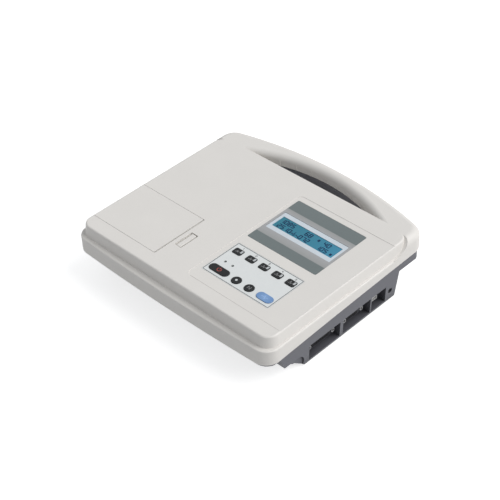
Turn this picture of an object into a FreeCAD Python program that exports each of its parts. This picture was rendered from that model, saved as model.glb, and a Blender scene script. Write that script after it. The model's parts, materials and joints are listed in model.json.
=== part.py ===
import FreeCAD, Part
import math
import os

from FreeCAD import Vector

# Single-channel ECG machine, millimetres.
# Origin: middle of the footprint, on the table. +X is the user's right, -Y the user's side, +Z up.

# Overall size
body_width = 268.0
body_depth = 248.5
case_height = 64.0
feet_height = 2.5
wall = 2.5
parting_gap = 0.3
seat_gap = 0.3
root_sink = 0.5

# Outline of the moulded body
front_bow = 3.0
front_corner = 16.0
rear_radius = 446.0
rear_corner = 18.0
crown_radius = 8.5
skirt_edge = 1.5

# Raised plateau and the step round it
ledge_drop = 13.0
side_ledge = 4.25
front_ledge = 9.0
wall_draft = 2.0
plateau_front_corner = 12.0
plateau_rear_corner = 14.0
plateau_edge = 2.0
step_runout = 26.0
panel_drop = 0.35
panel_front_margin = 16.5
panel_depth = 0.652 * body_depth
panel_side_margin = 49.5
panel_corner = 6.0

# Carrying handle
handle_bar = 16.0
slit_depth = 22.0
slit_half = 89.0
slit_tip = 1.5
grip_roll = 6.5
grip_lip = 5.0
grip_lip_top = 53.5
handle_height = 34.5
finger_ribs = 7
finger_pitch = 19.0
grip_turn = 80.0
finger_rib_width = 0.8
finger_rib_rise = 0.45

# Joint line between the pale cover and the dark case, as heights above the table
parting_front = 36.0
parting_middle = 40.5
parting_rear = 45.3
parting_turn = 0.28
case_inset = 1.75
case_taper = 2.7

# Side profile of the dark case, measured from the body's front and rear
nose_inset = 3.5
nose_start = 0.0905 * body_depth
nose_end = 0.1147 * body_depth
step_end = 0.1469 * body_depth
ramp_end = 0.2274 * body_depth
step_height = 18.0
flange_height = 33.8
tail_inset = 0.2374 * body_depth
tail_run = 4.4
notch_radius = 9.0
notch_depth = 1.6

# Paper door and its hinge
door_length = 89.7
door_width = 67.9
door_front_margin = 16.9
door_gap = 0.4
door_ribs = 3
door_rib_height = 1.2
slit_width = 1.5
hinge_inset = 6.25
hinge_drop = 6.0
hinge_pin_radius = 1.25
running_gap = 0.05

# Printer
platen_radius = 5.2
platen_inset = 7.35
platen_drop = 9.4
paper_margin = 8.95
platen_shaft_radius = 2.0
bush_radius = 3.5
bush_flange = 0.6
gear_end_gap = 0.4
paper_gap = 0.35
roll_radius = 17.5
roll_room = 2.0
core_radius = 6.0
spindle_radius = 4.0
gear_module = 0.6
platen_teeth = 20
idler_teeth = 24
pinion_teeth = 12
gear_width = 3.0
mesh_gap = 0.1
motor_radius = 12.0
motor_length = 14.0
sheet = 1.5
printer_left = 10.0
printer_right = 21.0
printer_front_gap = 5.5
printer_post_inset = 14.0
pinion_shaft = 0.9
motor_plate = 0.8
motor_edge = 1.2
motor_ear = 4.0
head_bead = 0.3
head_strip = 1.5
head_below = 8.5
head_above = 4.0
sink_plate = 2.0
sink_depth = 4.5
sink_fins = 4
sink_pitch = 3.0
spring_length = 30.0
spring_leaf = 0.5
spring_width = 6.0
tray_front_gap = 5.0
collar = 1.2

# Latch bar beside the slit
latch_gap = 5.9
latch_width = 9.5
latch_length = 24.0
latch_bar = 5.5
latch_corner = 1.0
latch_flange = 3.0
latch_plate = 2.0
latch_nose = 1.6
latch_sink = 0.4

# Display
display_inset = 78.75
display_at = 0.5734 * body_depth
display_width = 90.0
display_depth = 75.3
display_corner = 1.6
display_plate = 1.2
lcd_frame_width = 84.0
lcd_frame_depth = 29.3
lcd_view_width = 78.0
lcd_view_depth = 18.0
lcd_sink = 0.3
lcd_corner = 0.8
lcd_skin = 0.6
lcd_side = 1.0
lcd_seat = 0.2

# Keypad, placed from the display's centre line and the body's front
keypad_width = 87.5
keypad_depth = 51.3
keypad_dx = 0.2
keypad_at = 0.2652 * body_depth
keypad_corner = 1.3
keypad_sheet = 0.6
key_rise = 0.7
key_travel = 0.6
key_gap = 0.25
key_flange = 1.0
key_flange_height = 0.7
key_drop = 0.4
key_play = 0.1
key_edge = 0.45
plunger_height = 0.7
plunger_radius = 1.75
function_keys = 5
function_pitch = 17.4
function_width = 10.9
function_depth = 8.4
function_corner = 2.0
function_row = 15.05
function_first = -34.1
lower_row = -16.45
end_flat = 0.01
power_span = 14.8
power_radius = 4.8
power_at = -28.65
round_radius = 5.2
round_at = -5.7
round_pitch = 16.8
start_span = 9.2
start_radius = 4.85
start_at = 31.35
lamp_row = -3.55
lamp_first = -33.25
lamp_pitch = 9.8
lamp_radius = 1.2

# Boards
board = 1.6
board_sink = 1.5
switch_size = 6.0
switch_height = 3.5
post_radius = 3.0
post_margin = 2.0
main_board_width = 100.0
main_post_inset = 24.0
header_depth = 5.0
header_height = 2.5
chips = 4
chip_size = 20.0
chip_step = 3.0
capacitor_radius = 4.0
buzzer_radius = 6.0
screw_radius = 1.5
screw_gap = 0.15
screw_head = 2.8
screw_head_height = 2.0
board_screw_head = 1.6

# Connectors on the right side, placed from the body's front
recess_height = 20.5
recess_floor = 2.2
recess_inset = 12.5
recess_one = (0.2515 * body_depth, 0.1771 * body_depth)
recess_two = (0.4467 * body_depth, 0.1618 * body_depth)
recess_three = (0.6161 * body_depth, 0.0861 * body_depth)
connector_height = 14.0
dsub_flange_height = 12.5
dsub_flange = 0.8
dsub_lean = 10.0
dsub_shell_height = 8.0
dsub_shell_reach = 3.2
dsub_body_depth = 9.0
ecg_at = 0.3392 * body_depth
ecg_screw_pitch = 33.3
ecg_shell = 25.0
ecg_pins = 8
serial_at = 0.5243 * body_depth
serial_screw_pitch = 25.0
serial_shell = 16.6
serial_pins = 5
dsub_margin = 2.8
dsub_pin_pitch = 2.77
dsub_row_pitch = 2.84
dsub_pin_hole = 0.6
jackscrew_radius = 2.5
jackscrew_length = 4.6
jackscrew_hole = 1.25
usb_width = 13.2
usb_at = recess_three[0] + usb_width / 2 + 2 * seat_gap
usb_height = 5.8
usb_skin = 0.4
usb_depth = 14.8
usb_mouth = 9.0
usb_tongue = 1.7
usb_reach = 4.0
jack_hole = 3.0
jack_bore = 1.75
jack_body = 8.4
jack_at = recess_three[0] + recess_three[1] + wall + seat_gap + jack_body / 2
jack_depth = 11.0

# Mains inlet and earth stud on the left side, placed from the body's front
inlet_recess = (0.5324 * body_depth, 0.2012 * body_depth)
inlet_recess_height = 30.0
inlet_at = 0.6016 * body_depth
inlet_width = 27.0
inlet_height = 19.8
inlet_flange = 2.2
inlet_depth = 20.0
inlet_plate = 2.0
inlet_cavity = 16.0
inlet_pin = 2.0
inlet_pin_pitch = 7.0
stud_at = 0.7103 * body_depth
stud_radius = 3.0
stud_length = 8.0
stud_chamfer = 0.6

# Battery, power supply, fasteners and feet
battery_width = 70.0
battery_depth = 62.0
battery_height = 20.0
battery_inset = 36.0
battery_lid = 1.5
battery_room = 4.5
power_capacitors = 3
power_capacitor_radius = 5.0
core_width = 36.0
core_depth = 16.0
core_height = 28.0
winding_width = 22.0
winding_depth = 28.0
winding_corner = 4.0
lid_margin = 7.0
lid_lip = 3.0
lid_corner = 4.0
lid_screw_head = 1.2
foot_radius = 7.0
foot_draft = 0.8
foot_inset_x = 20.0
foot_inset_y = 0.2777 * body_depth
boss_radius = 4.5
boss_inset = 10.5
boss_rear = 0.2455 * body_depth
boss_front = 0.169 * body_depth
boss_middle = 14.0
boss_top = 38.0
boss_seat = 20.0
case_screw_reach = 28.0
screw_room = 2.0

# Worked-out places
half = body_width / 2
front = -body_depth / 2
rear = body_depth / 2
top = feet_height + case_height
floor = feet_height + wall
ceiling = top - wall
ledge = top - ledge_drop
panel = top - panel_drop
plateau_half = half - side_ledge
plateau_front = front + front_ledge
slit_rear = rear - handle_bar
slit_front = slit_rear - slit_depth
cavity_rear = slit_front - wall
far = body_width * 2
door_left = -plateau_half
door_right = door_left + door_length
door_front = plateau_front + door_front_margin
door_rear = door_front + door_width
door_under = ceiling
hinge_x = door_left + hinge_inset
hinge_z = top - hinge_drop
platen_x = door_right - platen_inset
platen_z = top - platen_drop
paper_middle = (door_front + door_rear) / 2
paper_width = door_width - 2 * paper_margin
display_x = half - display_inset
display_y = front + display_at
keypad_x = display_x + keypad_dx
keypad_y = front + keypad_at
panel_left = display_x - panel_side_margin
recess_plane = half - recess_inset
battery_x = -half + battery_inset + battery_width / 2
battery_y = rear - tail_inset - battery_depth / 2 - lid_margin - 1.0


def box(x0, x1, y0, y1, z0, z1):
    return Part.makeBox(x1 - x0, y1 - y0, z1 - z0, Vector(x0, y0, z0))


def post(x, y, z0, z1, radius):
    return Part.makeCylinder(radius, z1 - z0, Vector(x, y, z0))


def rod_x(x0, x1, y, z, radius):
    return Part.makeCylinder(radius, x1 - x0, Vector(x0, y, z), Vector(1, 0, 0))


def rod_y(y0, y1, x, z, radius):
    return Part.makeCylinder(radius, y1 - y0, Vector(x, y0, z), Vector(0, 1, 0))


def prism(points, push):
    """Solid from a closed outline of straight runs, pushed along one direction."""
    wire = Part.makePolygon(points + points[:1])
    return Part.Face(wire).extrude(push)


def rounded_outline(x0, x1, y0, y1, z, front_radius, rear_round):
    """Rectangle with round corners, front and rear corners of their own radius."""
    corners = [
        (x0 + front_radius, y0 + front_radius, front_radius, 180),
        (x1 - front_radius, y0 + front_radius, front_radius, 270),
        (x1 - rear_round, y1 - rear_round, rear_round, 0),
        (x0 + rear_round, y1 - rear_round, rear_round, 90),
    ]
    arcs = []
    for x, y, radius, start in corners:
        points = []
        for degrees in (start, start + 45, start + 90):
            angle = math.radians(degrees)
            points.append(Vector(x + radius * math.cos(angle), y + radius * math.sin(angle), z))
        arcs.append(Part.Arc(*points).toShape())
    edges = []
    for arc, following in zip(arcs, arcs[1:] + arcs[:1]):
        edges.append(arc)
        edges.append(Part.makeLine(arc.Vertexes[-1].Point, following.Vertexes[0].Point))
    return Part.Wire(edges)


def slab(x0, x1, y0, y1, z0, z1, radius):
    """Plate with round corners."""
    wire = rounded_outline(x0, x1, y0, y1, z0, radius, radius)
    return Part.Face(wire).extrude(Vector(0, 0, z1 - z0))


def pad(x, y, width, depth, z0, z1, radius):
    """Plate with round corners about a centre."""
    return slab(x - width / 2, x + width / 2, y - depth / 2, y + depth / 2, z0, z1, radius)


def level_edges(shape, z):
    """Edges that lie wholly at one height."""
    found = []
    for edge in shape.Edges:
        span = edge.BoundBox
        if abs(span.ZMin - z) < 1e-4 and abs(span.ZMax - z) < 1e-4:
            found.append(edge)
    return found


def upright_edges(shape, rear_half):
    """Straight upright edges in the rear or the front half."""
    found = []
    for edge in shape.Edges:
        span = edge.BoundBox
        upright = span.XLength < 1e-4 and span.YLength < 1e-4
        if upright and (span.YMin > 0) == rear_half:
            found.append(edge)
    return found


def body_block(inset, z0, z1):
    """The body's plan: bowed front, straight sides, arched rear, round corners."""
    side = half - inset
    start = front + inset
    end = rear - inset
    arch = rear_radius - inset
    sag = arch - math.sqrt(arch * arch - side * side)
    front_arc = Part.Arc(
        Vector(-side, start + front_bow, z0), Vector(0, start, z0), Vector(side, start + front_bow, z0))
    rear_arc = Part.Arc(
        Vector(side, end - sag, z0), Vector(0, end, z0), Vector(-side, end - sag, z0))
    right = Part.makeLine(Vector(side, start + front_bow, z0), Vector(side, end - sag, z0))
    left = Part.makeLine(Vector(-side, end - sag, z0), Vector(-side, start + front_bow, z0))
    wire = Part.Wire([front_arc.toShape(), right, rear_arc.toShape(), left])
    block = Part.Face(wire).extrude(Vector(0, 0, z1 - z0))
    block = block.makeFillet(front_corner - inset, upright_edges(block, False))
    return block.makeFillet(rear_corner - inset, upright_edges(block, True))


def side_prism(points, arc_points, reach):
    """Solid from a YZ outline: straight runs, then one arc back to the start."""
    run = [Vector(-reach, y, z) for y, z in points]
    edges = [Part.makeLine(a, b) for a, b in zip(run, run[1:])]
    bend = [Vector(-reach, y, z) for y, z in arc_points]
    edges.append(Part.Arc(*bend).toShape())
    return Part.Face(Part.Wire(edges)).extrude(Vector(2 * reach, 0, 0))


def below_parting(shift):
    """Everything under the arched joint line, moved up or down by a shift."""
    arc = [
        (rear + wall, parting_rear + shift), (parting_turn * front, parting_middle + shift),
        (front - wall, parting_front + shift)]
    base = -feet_height
    points = [arc[2], (front - wall, base), (rear + wall, base), arc[0]]
    return side_prism(points, arc, far / 2)


def handle_slit(z0, z1, grow):
    """D-shaped hand opening: straight front, arched rear."""
    y0 = slit_front - grow
    y1 = slit_rear + grow
    x = slit_half + grow
    straight = Part.makeLine(Vector(x, y0, z0), Vector(-x, y0, z0))
    arch = Part.Arc(Vector(-x, y0, z0), Vector(0, y1, z0), Vector(x, y0, z0))
    opening = Part.Face(Part.Wire([straight, arch.toShape()])).extrude(Vector(0, 0, z1 - z0))
    return opening.makeFillet(slit_tip, upright_edges(opening, True))


def slit_arch():
    """Radius of the hand opening's rear arch and the Y of its centre."""
    radius = (slit_half ** 2 + slit_depth ** 2) / (2 * slit_depth)
    return radius, slit_rear - radius


def grip_roll_cut():
    """Rounding of the grip's inner top edge, which runs out past both ends of the opening."""
    radius, centre = slit_arch()
    low = top - grip_roll
    outer = radius + grip_roll
    bend = math.sqrt(0.5) * grip_roll
    start = Vector(0, centre + radius - wall, low)
    corner = Vector(0, centre + radius - wall, top + wall)
    far_corner = Vector(0, centre + outer, top + wall)
    edge = Vector(0, centre + outer, top)
    inner = Vector(0, centre + radius, low)
    middle = Vector(0, centre + outer - bend, low + bend)
    lines = [(inner, start), (start, corner), (corner, far_corner), (far_corner, edge)]
    edges = [Part.makeLine(a, b) for a, b in lines]
    edges.append(Part.Arc(edge, middle, inner).toShape())
    face = Part.Face(Part.Wire(edges))
    axis = Vector(0, centre, 0)
    face.rotate(axis, Vector(0, 0, 1), -grip_turn / 2)
    ring = face.revolve(axis, Vector(0, 0, 1), grip_turn)
    return ring.common(box(-far, far, slit_front, far, low - wall, top + 2 * wall))


def grip_lining(grow):
    """Upper edge of the dark case that lines the lower half of the grip's inner face."""
    low = parting_front
    lining = handle_slit(low, grip_lip_top + grow, grip_lip + grow)
    return lining.common(box(-far, far, slit_front + wall - grow, far, low, top))


def plateau_block():
    """Raised top with drafted walls and a soft edge."""
    foot = rounded_outline(
        -plateau_half - wall_draft, plateau_half + wall_draft, plateau_front - wall_draft, slit_front,
        ledge - wall, plateau_front_corner + wall_draft, plateau_rear_corner + wall_draft)
    head = rounded_outline(
        -plateau_half, plateau_half, plateau_front, slit_front,
        top, plateau_front_corner, plateau_rear_corner)
    block = Part.makeLoft([foot, head], True, True)
    return block.makeFillet(plateau_edge, level_edges(block, top))


def crown_block():
    """Rounded rear of the body, which the side steps run out into."""
    low = parting_front - wall
    crown = body_block(0, low, top)
    crown = crown.makeFillet(crown_radius, level_edges(crown, top))
    rise = ledge_drop + wall
    bend = (step_runout ** 2 + rise ** 2) / (2 * rise)
    start = slit_front - wall - step_runout
    swing = math.asin(step_runout / bend) / 2
    middle = (start + bend * math.sin(swing), ledge + bend * (1 - math.cos(swing)))
    points = [
        (start + step_runout, ledge + rise), (rear + wall, ledge + rise), (rear + wall, low),
        (start, low), (start, ledge)]
    return crown.common(side_prism(points, [points[-1], middle, points[0]], far / 2))


def case_bosses(z0, z1, radius):
    """Posts at the four case screws."""
    places = [
        (-half + boss_inset, door_rear + 2 * boss_radius), (-half + boss_inset, rear - boss_rear),
        (boss_middle, rear - boss_rear), (half - 2 * boss_inset, front + boss_front)]
    return [post(x, y, z0, z1, radius) for x, y in places]


def key_outlines():
    """Name, centre and plan of every key: width, depth, corner."""
    keys = []
    for number in range(function_keys):
        x = keypad_x + function_first + number * function_pitch
        y = keypad_y + function_row
        keys.append((f"function_key_{number + 1}", x, y, function_width, function_depth, function_corner))
    lower = [
        ("power_key", power_at, power_span, power_radius), ("mode_key", round_at, 0, round_radius),
        ("lead_key", round_at + round_pitch, 0, round_radius),
        ("start_key", start_at, start_span, start_radius)]
    y = keypad_y + lower_row
    for name, at, span, radius in lower:
        keys.append((name, keypad_x + at, y, span + 2 * radius, 2 * radius, radius - end_flat))
    return keys


def lamp_places():
    return [(keypad_x + lamp_first + n * lamp_pitch, keypad_y + lamp_row) for n in range(2)]


def top_cover():
    skirt = body_block(0, parting_front - wall, ledge)
    skirt = skirt.makeFillet(skirt_edge, level_edges(skirt, ledge))
    cover = skirt.fuse([plateau_block(), crown_block()]).removeSplitter()
    low = parting_front - 2 * wall
    front_room = body_block(wall, low, ledge - wall)
    front_room = front_room.common(box(-far, far, -far, cavity_rear, low, top))
    inner = plateau_half - wall
    room_wire = rounded_outline(
        -inner, inner, plateau_front + wall, cavity_rear, low,
        plateau_front_corner - wall, 2 * plateau_rear_corner)
    room = Part.Face(room_wire).extrude(Vector(0, 0, ceiling - low))
    cover = cover.cut(front_room).cut(room).cut(below_parting(0))
    cover = cover.cut([handle_slit(low, top + wall, 0), grip_lining(parting_gap)])
    cover = cover.cut(grip_roll_cut())
    panel_front = plateau_front + panel_front_margin
    cover = cover.cut(slab(
        panel_left, far, panel_front, panel_front + panel_depth, panel, top + wall, panel_corner))
    root = ceiling + root_sink
    fitted = [finger_rib(n) for n in range(finger_ribs)]
    fitted += case_bosses(boss_top, root, boss_radius)
    for x, y in lcd_posts():
        fitted.append(post(x, y, ceiling - board_sink, root, post_radius))
    for x, y in keypad_posts():
        fitted.append(post(x, y, keypad_board_top(), root, post_radius))
    cover = cover.fuse(fitted).removeSplitter()
    cuts = [display_pocket(), lcd_opening(ceiling - wall)]
    cuts.append(pad(
        keypad_x, keypad_y, keypad_width + door_gap, keypad_depth + door_gap,
        panel - keypad_sheet, top + wall, keypad_corner + door_gap / 2))
    cuts += key_openings(ceiling - wall)
    y0 = door_front - door_gap
    y1 = door_rear + door_gap
    cuts.append(box(-far, door_right + slit_width, y0, y1, ledge, top + wall))
    cuts.append(rod_y(y0, y1, hinge_x, hinge_z, apron_swing()))
    latch_x = door_right + latch_gap
    latch_y = latch_length / 2
    cuts.append(slab(
        latch_x, latch_x + latch_width, paper_middle - latch_y, paper_middle + latch_y,
        ceiling - wall, top + wall, latch_corner))
    cuts += case_bosses(low, boss_seat + case_screw_reach + screw_room, screw_radius + screw_gap)
    return cover.cut(cuts)


def display_pocket():
    """Shallow seat for the window plate."""
    return pad(
        display_x, display_y, display_width + door_gap, display_depth + door_gap,
        panel - display_plate, top + wall, display_corner + door_gap / 2)


def lcd_opening(low):
    """Opening for the screen's frame."""
    return pad(
        display_x, display_y, lcd_frame_width + door_gap, lcd_frame_depth + door_gap,
        low, top, lcd_corner + door_gap / 2)


def apron_swing():
    """Radius that the door's rolled-over edge sweeps about the hinge, with its clearance."""
    return math.hypot(hinge_inset + wall_draft, hinge_z - ledge) + door_gap


def finger_rib(number):
    """One small upright rib on the grip's inner face."""
    x = (number - (finger_ribs - 1) / 2) * finger_pitch
    radius, centre = slit_arch()
    y = centre + math.sqrt(radius * radius - x * x)
    side = finger_rib_width / 2
    low = grip_lip_top + 2 * parting_gap
    return box(x - side, x + side, y - finger_rib_rise, y + wall, low, top - grip_roll)


def case_profile(inset):
    """Side view of the dark case: shallow nose, ramp, flat floor, slanted tail, thin rim."""
    points = [
        (front + nose_inset, top), (front + nose_inset, flange_height), (front + nose_start, flange_height),
        (front + nose_end, step_height), (front + step_end, step_height), (front + ramp_end, feet_height),
        (rear - tail_inset, feet_height), (rear - tail_inset + tail_run, top - handle_height),
        (rear + wall, top - handle_height), (rear + wall, top)]
    run = [Vector(-far / 2, y, z) for y, z in points]
    face = Part.Face(Part.makePolygon(run + run[:1]))
    if inset:
        face = Part.Face(face.makeOffset2D(-inset).Wires[0])
    return face.extrude(Vector(far, 0, 0))


def case_taper_block(inset):
    """Front view of the dark case: sides draw in towards the floor."""
    upper = half - case_inset - inset
    lower = upper - case_taper
    points = [
        (-upper, top), (-upper, parting_rear), (-lower, feet_height),
        (lower, feet_height), (upper, parting_rear), (upper, top)]
    return prism([Vector(x, -far / 2, z) for x, z in points], Vector(0, far, 0))


def recess(start, length, height, side, grow):
    """Pocket in a side wall, open outwards, over a thin floor."""
    y0 = front + start - grow
    y1 = front + start + length + grow
    inner = recess_plane - grow
    outer = half + wall
    z0 = feet_height + recess_floor - grow
    z1 = feet_height + height + grow
    if side > 0:
        return box(inner, outer, y0, y1, z0, z1)
    return box(-outer, -inner, y0, y1, z0, z1)


def recesses(grow):
    pockets = []
    for start, length in (recess_one, recess_two, recess_three):
        pockets.append(recess(start, length, recess_height, 1, grow))
    pockets.append(recess(*inlet_recess, inlet_recess_height, -1, grow))
    return pockets


def dsub_plan(width, height, y, z, x0, x1):
    """D-shaped shell: upper edge wider than the lower one."""
    lean = height * math.tan(math.radians(dsub_lean)) / 2
    side = width / 2
    points = [
        (-side - lean, height / 2), (-side + lean, -height / 2),
        (side - lean, -height / 2), (side + lean, height / 2)]
    return prism([Vector(x0, y + a, z + b) for a, b in points], Vector(x1 - x0, 0, 0))


def bottom_case():
    outer = body_block(case_inset, 0, top).common(case_profile(0)).common(case_taper_block(0))
    room = body_block(case_inset + wall, 0, top).common(case_profile(wall)).common(case_taper_block(wall))
    room = room.common(box(-far, far, -far, cavity_rear - 1, 0, top)).cut(recesses(wall))
    case = outer.cut(room).cut(recesses(0))
    case = case.common(below_parting(-parting_gap))
    lining = grip_lining(0).common(body_block(case_inset, 0, top))
    case = case.fuse(lining).cut(handle_slit(0, top, 0)).cut(side_notches())
    fitted = [p.common(outer) for p in case_bosses(0, boss_top, boss_radius)]
    root = floor - root_sink
    for places, high in (
            (main_posts(), main_board_under()), (power_posts(), power_board_under()),
            (printer_posts(), printer_under())):
        fitted += [post(x, y, root, high, post_radius).common(outer) for x, y in places]
    case = case.fuse(fitted).removeSplitter()
    cuts = case_bosses(-wall, top, screw_radius + screw_gap)
    cuts += case_bosses(-wall, boss_seat, screw_head + 2 * screw_gap)
    cuts += side_openings()
    lid_width = battery_width + 2 * lid_margin
    lid_depth = battery_depth + 2 * lid_margin
    cuts.append(pad(battery_x, battery_y, lid_width, lid_depth, -wall, feet_height + battery_lid, lid_corner))
    cuts.append(pad(
        battery_x, battery_y, lid_width - 2 * lid_lip, lid_depth - 4 * lid_lip, -wall, floor + wall, lid_lip))
    for x, y in lid_screws():
        cuts.append(post(x, y, 0, floor + wall, screw_radius + screw_gap))
    return case.cut(cuts)


def side_notches():
    """Shallow round notch low on each side, over the front ramp."""
    y = front + (step_end + ramp_end) / 2
    z = step_height - notch_radius
    lean = case_taper * (parting_rear - z) / (parting_rear - feet_height)
    inner = half - case_inset - lean - notch_depth
    arch = rod_x(-half, half, y, z, notch_radius)
    return arch.cut(box(-inner, inner, -far, far, -far, far))


def side_openings():
    """Holes in the recess walls for the connectors, the inlet and the earth stud."""
    inner = recess_plane - 2 * wall
    outer = recess_plane + 1
    z = connector_height
    cuts = []
    for at, shell, pitch, pins in dsub_sizes():
        y = front + at
        cuts.append(dsub_plan(shell + 2 * seat_gap, dsub_shell_height + 2 * seat_gap, y, z, inner, outer))
        for side in (-1, 1):
            cuts.append(rod_x(inner, outer, y + side * pitch / 2, z, jackscrew_hole + 2 * seat_gap))
    around = 2 * seat_gap
    cuts.append(side_block(inner, outer, front + usb_at, z, usb_width + around, usb_height + around))
    cuts.append(rod_x(half - 4 * wall, half + wall, front + jack_at, z, jack_hole))
    z = inlet_middle()
    cuts.append(side_block(-outer, -inner, front + inlet_at, z, inlet_width + around, inlet_height + around))
    cuts.append(rod_x(-outer, -inner, front + stud_at, z, stud_radius + seat_gap))
    return cuts


def dsub_sizes():
    """Place, shell width, screw pitch and longer pin row of the two D-subs."""
    return [
        (ecg_at, ecg_shell, ecg_screw_pitch, ecg_pins),
        (serial_at, serial_shell, serial_screw_pitch, serial_pins)]


def side_block(x0, x1, y, z, width, height):
    """Block along X about a centre in Y and Z."""
    return box(x0, x1, y - width / 2, y + width / 2, z - height / 2, z + height / 2)


def inlet_middle():
    return floor + inlet_height / 2 + inlet_flange + seat_gap


def lid_screws():
    y = battery_depth / 2 + lid_margin - lid_lip
    return [(battery_x, battery_y - y), (battery_x, battery_y + y)]


def main_board_under():
    return connector_height + dsub_flange_height / 2 + seat_gap


def main_board_box():
    x1 = recess_plane - wall - dsub_flange
    return (x1 - main_board_width, x1, front + recess_one[0] + post_radius, front + jack_at + post_radius)


def main_posts():
    x0, x1, y0, y1 = main_board_box()
    inset = post_radius + post_margin
    return [(x, y) for x in (x0 + inset, x1 - main_post_inset) for y in (y0 + inset, y1 - inset)]


def power_board_under():
    return feet_height + battery_lid + battery_height + battery_room


def power_board_box():
    """Spans the battery from side to side and runs from behind the motor to the tail."""
    x = battery_width / 2 + lid_margin + post_radius
    y0 = door_rear + sheet + motor_length + battery_room
    return (battery_x - x, battery_x + x + post_radius, y0, battery_y + battery_depth / 2)


def power_posts():
    x0, x1, y0, y1 = power_board_box()
    inset = post_radius + post_margin
    return [(x, y) for x in (x0 + post_radius, x1 - post_radius) for y in (y0 + inset, y1 - inset)]


def gear_middles():
    """Axes of the platen gear, the idler below it and the motor pinion."""
    drop = gear_module * (platen_teeth + idler_teeth) / 2 + mesh_gap
    reach = gear_module * (idler_teeth + pinion_teeth) / 2 + mesh_gap
    idler = (platen_x, platen_z - drop)
    slant = math.sqrt(0.5) * reach
    return (platen_x, platen_z), idler, (idler[0] + slant, idler[1] - slant)


def gear_front():
    return platen_ears()[1][1] + bush_flange + gear_end_gap


def printer_under():
    return gear_middles()[2][1] - motor_radius - sheet - seat_gap


def printer_box():
    return (
        platen_x - printer_left, platen_x + printer_right,
        door_front + printer_front_gap, door_rear + sheet)


def printer_posts():
    x0, x1, y0, y1 = printer_box()
    inset = post_radius + post_margin
    return [(x, y) for x in (x0 + inset, x1 - inset) for y in (y0 + printer_post_inset, y1 - inset)]


def keypad_board_top():
    return key_underside() - key_travel - key_play - plunger_height - switch_height


def key_underside():
    return ceiling - key_drop - key_flange_height


def corner_posts(x, y, width, depth):
    """Four places at the corners of a rectangle about a centre."""
    return [(x + a * width / 2, y + b * depth / 2) for a in (-1, 1) for b in (-1, 1)]


def keypad_posts():
    width = keypad_width + post_margin + post_radius
    return corner_posts(keypad_x, keypad_y, width, keypad_depth - 2 * post_radius)


def lcd_posts():
    side = 2 * (post_radius + root_sink)
    depth = lcd_frame_depth + 2 * side - post_margin
    return corner_posts(display_x, display_y, lcd_frame_width + side, depth)


def display_panel():
    low = panel - display_plate
    plate = pad(display_x, display_y, display_width, display_depth, low, panel, display_corner)
    return plate.cut(lcd_opening(ceiling))


def lcd_frame():
    """Metal bezel folded round the screen."""
    high = panel - lcd_sink
    low = ceiling - board_sink
    ring = pad(display_x, display_y, lcd_frame_width, lcd_frame_depth, low, high, lcd_corner)
    window = pad(display_x, display_y, lcd_view_width, lcd_view_depth, low - 1, top, lcd_skin)
    inner_width = lcd_frame_width - 2 * lcd_side
    inner_depth = lcd_frame_depth - 2 * lcd_side
    hollow = pad(display_x, display_y, inner_width, inner_depth, low - 1, high - lcd_skin, lcd_side / 2)
    return ring.cut([window, hollow])


def lcd_glass():
    width = lcd_frame_width - 2 * (lcd_side + lcd_seat)
    depth = lcd_frame_depth - 2 * (lcd_side + lcd_seat)
    high = panel - lcd_sink - lcd_skin
    return pad(display_x, display_y, width, depth, ceiling - board_sink, high, lcd_side / 2)


def lcd_board():
    """Driver board on the cover's posts, with a pin header along its rear edge."""
    side = 2 * (post_radius + root_sink)
    width = lcd_frame_width + 2 * side
    depth = lcd_frame_depth + 2 * side + 2 * (post_radius - root_sink)
    high = ceiling - board_sink
    plate = pad(display_x, display_y, width, depth, high - board, high, lcd_side)
    header_y = display_y + depth / 2 - post_radius
    header_low = high - board - header_height
    header = pad(
        display_x, header_y, lcd_view_width / 2, header_depth, header_low, high - board, lcd_seat)
    return plate.fuse(header).cut(screw_holes(lcd_posts()))


def screw_holes(places):
    return [post(x, y, 0, top, screw_radius) for x, y in places]


def keypad_overlay():
    """Printed sheet with an opening for every key and lamp."""
    sheet_low = panel - keypad_sheet
    plate = pad(keypad_x, keypad_y, keypad_width, keypad_depth, sheet_low, panel, keypad_corner)
    return plate.cut(key_openings(ceiling))


def key_openings(low):
    cuts = []
    for name, x, y, width, depth, corner in key_outlines():
        cuts.append(pad(x, y, width + 2 * key_gap, depth + 2 * key_gap, low, top, corner + key_gap))
    for x, y in lamp_places():
        cuts.append(post(x, y, low, top, lamp_radius + key_gap))
    return cuts


def key_cap(x, y, width, depth, corner):
    """Key with a soft top edge, and a flange that keeps it under the cover."""
    high = panel + key_rise
    shoulder = ceiling - key_drop
    cap = pad(x, y, width, depth, key_underside(), high, corner)
    cap = cap.makeFillet(key_edge, level_edges(cap, high))
    wide = width + 2 * key_flange
    deep = depth + 2 * key_flange
    flange = pad(x, y, wide, deep, key_underside(), shoulder, corner + key_flange)
    return cap.fuse(flange).removeSplitter()


def keypad_board():
    high = keypad_board_top()
    width = keypad_width + 4 * post_radius + post_margin
    plate = pad(keypad_x, keypad_y, width, keypad_depth + post_margin, high - board, high, lcd_side)
    return plate.cut(screw_holes(keypad_posts()))


def key_switches():
    """One dome switch under each key, with its plunger."""
    low = keypad_board_top()
    high = low + switch_height
    switches = []
    for name, x, y, width, depth, corner in key_outlines():
        body = pad(x, y, switch_size, switch_size, low, high, lcd_seat)
        switches.append(body.fuse(post(x, y, high, high + plunger_height, plunger_radius)))
    return Part.makeCompound(switches)


def indicator_leds():
    """Round-topped lamps that stand on the keypad board."""
    low = keypad_board_top()
    lamps = []
    for x, y in lamp_places():
        stem = post(x, y, low, panel - lamp_radius, lamp_radius)
        dome = Part.makeSphere(lamp_radius, Vector(x, y, panel - lamp_radius))
        lamps.append(stem.fuse(dome).removeSplitter())
    return Part.makeCompound(lamps)


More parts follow.
